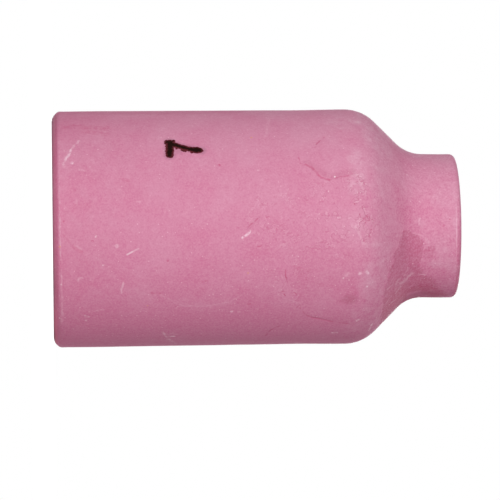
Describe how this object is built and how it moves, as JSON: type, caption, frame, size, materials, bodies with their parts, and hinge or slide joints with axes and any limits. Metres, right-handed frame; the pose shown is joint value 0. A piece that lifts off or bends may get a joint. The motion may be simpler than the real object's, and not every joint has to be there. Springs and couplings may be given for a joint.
{
  "type": "tig torch gas nozzle",
  "caption": "Ceramic gas nozzle for a TIG torch: a threaded barrel that narrows through a rounded 45 degree shoulder to a short neck.",
  "frame": {"origin": "centre of the rear face, the face at the torch end, on the nozzle's axis", "axes": "+Z along the nozzle's axis from the torch end to the tip, where the gas leaves. The nozzle is round about Z, and the size mark that the picture shows is on its -Y side."},
  "size_m": [0.0246, 0.0246, 0.042],
  "materials": {
    "pink_alumina": "matte"
  },
  "bodies": {
    "root": {"gas_nozzle": "pink_alumina"}
  },
  "joints": []
}
